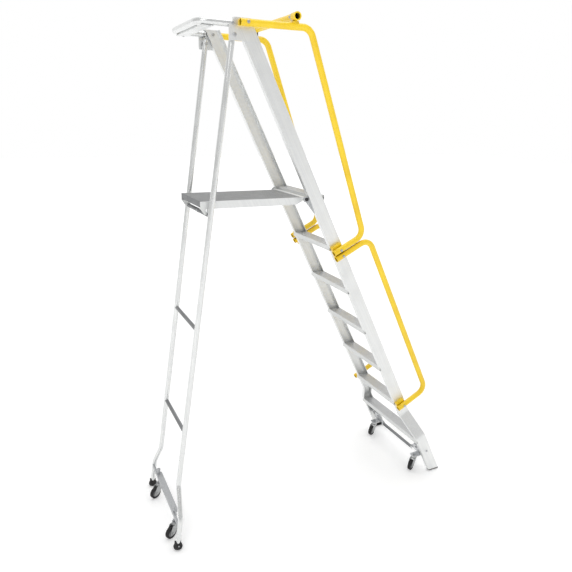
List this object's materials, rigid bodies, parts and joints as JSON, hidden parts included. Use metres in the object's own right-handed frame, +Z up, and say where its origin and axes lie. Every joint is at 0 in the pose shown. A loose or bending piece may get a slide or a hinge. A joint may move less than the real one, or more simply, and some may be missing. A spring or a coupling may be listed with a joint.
{
  "type": "rolling warehouse ladder",
  "caption": "Rolling platform ladder with splayed aluminium stiles, grooved treads, a railed standing deck, yellow bent-tube handrails, a lift-up gate and a folding rear frame on casters.",
  "frame": {"origin": "on the floor under the middle of the bounding box", "axes": "+Z up, +Y from the climbing side to the rear frame, -X is the climber's left"},
  "size_m": [0.694, 1.9816, 2.925],
  "materials": {
    "stile_aluminium": "satin mill-finished extrusion",
    "tread_aluminium": "grooved satin extrusion",
    "tube_aluminium": "satin drawn tube",
    "yellow_paint": "semi-gloss traffic yellow powder coat",
    "deck_grey": "grey non-slip ribbed deck",
    "zinc_steel": "zinc plated",
    "sheet_steel": "grey zinc plated sheet",
    "black_rubber": "matt",
    "black_plastic": "matt",
    "tyre": "matt",
    "hub_plastic": "matt grey"
  },
  "bodies": {
    "stile_frame": {"left_stile": "stile_aluminium", "right_stile": "stile_aluminium", "stile_soles": "black_rubber", "tread_1": "tread_aluminium", "tread_2": "tread_aluminium", "tread_3": "tread_aluminium", "tread_4": "tread_aluminium", "tread_5": "tread_aluminium", "tread_6": "tread_aluminium", "top_tread": "tread_aluminium", "gusset_plates": "stile_aluminium", "guard_loop": "tube_aluminium", "loop_tray": "stile_aluminium", "left_upper_handrail": "yellow_paint", "left_lower_handrail": "yellow_paint", "right_upper_handrail": "yellow_paint", "right_lower_handrail": "yellow_paint", "handrail_saddles": "yellow_paint", "frame_bolts": "zinc_steel", "pivot_bolts": "zinc_steel", "pivot_bushes": "black_plastic", "platform_hinge_brackets": "zinc_steel", "platform_hinge_pins": "black_plastic", "carrier_hangers": "zinc_steel", "carrier_guide_bolts": "sheet_steel", "front_springs": "zinc_steel", "gate_saddles": "black_plastic", "gate_hinge_pin": "zinc_steel"},
    "rear_frame": {"rear_left_leg": "tube_aluminium", "rear_right_leg": "tube_aluminium", "rear_rungs": "tread_aluminium", "platform_support_bar": "tread_aluminium", "bar_clip": "zinc_steel", "rear_rubber_feet": "black_rubber", "rear_caster_bar": "sheet_steel", "rear_left_spring": "zinc_steel", "rear_right_spring": "zinc_steel"},
    "platform": {"platform_hinge_tube": "stile_aluminium", "platform_side_rails": "stile_aluminium", "platform_deck": "deck_grey", "platform_crossmembers": "deck_grey", "platform_hooks": "stile_aluminium"},
    "gate": {"gate_bar": "yellow_paint", "gate_bushes": "black_plastic"},
    "front_carrier": {"front_carrier": "sheet_steel", "front_caster_stems": "zinc_steel"},
    "rear_left_stem": {"rear_left_caster_stem": "sheet_steel"},
    "rear_right_stem": {"rear_right_caster_stem": "sheet_steel"},
    "front_left_fork": {"front_left_caster_fork": "zinc_steel"},
    "front_left_wheel": {"front_left_caster_tyre": "tyre", "front_left_caster_hub": "hub_plastic"},
    "front_right_fork": {"front_right_caster_fork": "zinc_steel"},
    "front_right_wheel": {"front_right_caster_tyre": "tyre", "front_right_caster_hub": "hub_plastic"},
    "rear_left_fork": {"rear_left_caster_fork": "zinc_steel"},
    "rear_left_wheel": {"rear_left_caster_tyre": "tyre", "rear_left_caster_hub": "hub_plastic"},
    "rear_right_fork": {"rear_right_caster_fork": "zinc_steel"},
    "rear_right_wheel": {"rear_right_caster_tyre": "tyre", "rear_right_caster_hub": "hub_plastic"}
  },
  "joints": [
    {"name": "rear_frame_fold", "type": "hinge", "parent": "stile_frame", "child": "rear_frame", "pos_m": [0, 0.5452, 2.803], "axis": [-1, 0, 0], "range_deg": [0, 30]},
    {"name": "platform_fold", "type": "hinge", "parent": "stile_frame", "child": "platform", "pos_m": [0, 0.1112, 1.993], "axis": [1, 0, 0], "range_deg": [0, 62.5]},
    {"name": "gate_lift", "type": "hinge", "parent": "stile_frame", "child": "gate", "pos_m": [0.27, 0.238, 2.904], "axis": [0, 1, 0], "range_deg": [0, 95]},
    {"name": "front_carrier_spring", "type": "slide", "parent": "stile_frame", "child": "front_carrier", "axis": [0, 0.4515, 0.8923], "range_m": [0, 0.006], "stiffness_N_per_m": 12000, "springref_m": -0.027, "deforming": ["front_springs"]},
    {"name": "rear_left_caster_spring", "type": "slide", "parent": "rear_frame", "child": "rear_left_stem", "axis": [0, 0, 1], "range_m": [0, 0.006], "stiffness_N_per_m": 8000, "springref_m": -0.018, "deforming": ["rear_left_spring"]},
    {"name": "rear_right_caster_spring", "type": "slide", "parent": "rear_frame", "child": "rear_right_stem", "axis": [0, 0, 1], "range_m": [0, 0.006], "stiffness_N_per_m": 8000, "springref_m": -0.018, "deforming": ["rear_right_spring"]},
    {"name": "front_left_swivel", "type": "hinge", "parent": "front_carrier", "child": "front_left_fork", "pos_m": [-0.25, -0.8328, 0.09], "axis": [0, 0, 1], "continuous": true},
    {"name": "front_left_roll", "type": "hinge", "parent": "front_left_fork", "child": "front_left_wheel", "pos_m": [-0.26634, -0.80072, 0.0375], "axis": [-0.891, -0.454, 0], "continuous": true},
    {"name": "front_right_swivel", "type": "hinge", "parent": "front_carrier", "child": "front_right_fork", "pos_m": [0.25, -0.8328, 0.09], "axis": [0, 0, 1], "continuous": true},
    {"name": "front_right_roll", "type": "hinge", "parent": "front_right_fork", "child": "front_right_wheel", "pos_m": [0.23366, -0.80072, 0.0375], "axis": [-0.891, -0.454, 0], "continuous": true},
    {"name": "rear_left_swivel", "type": "hinge", "parent": "rear_left_stem", "child": "rear_left_fork", "pos_m": [-0.199, 0.9212, 0.09], "axis": [0, 0, 1], "continuous": true},
    {"name": "rear_left_roll", "type": "hinge", "parent": "rear_left_fork", "child": "rear_left_wheel", "pos_m": [-0.21534, 0.95328, 0.0375], "axis": [-0.891, -0.454, 0], "continuous": true},
    {"name": "rear_right_swivel", "type": "hinge", "parent": "rear_right_stem", "child": "rear_right_fork", "pos_m": [0.199, 0.9212, 0.09], "axis": [0, 0, 1], "continuous": true},
    {"name": "rear_right_roll", "type": "hinge", "parent": "rear_right_fork", "child": "rear_right_wheel", "pos_m": [0.18266, 0.95328, 0.0375], "axis": [-0.891, -0.454, 0], "continuous": true}
  ],
  "couplings": [
    {"joint": "platform_fold", "follows": "rear_frame_fold", "ratio": 2.07}
  ]
}
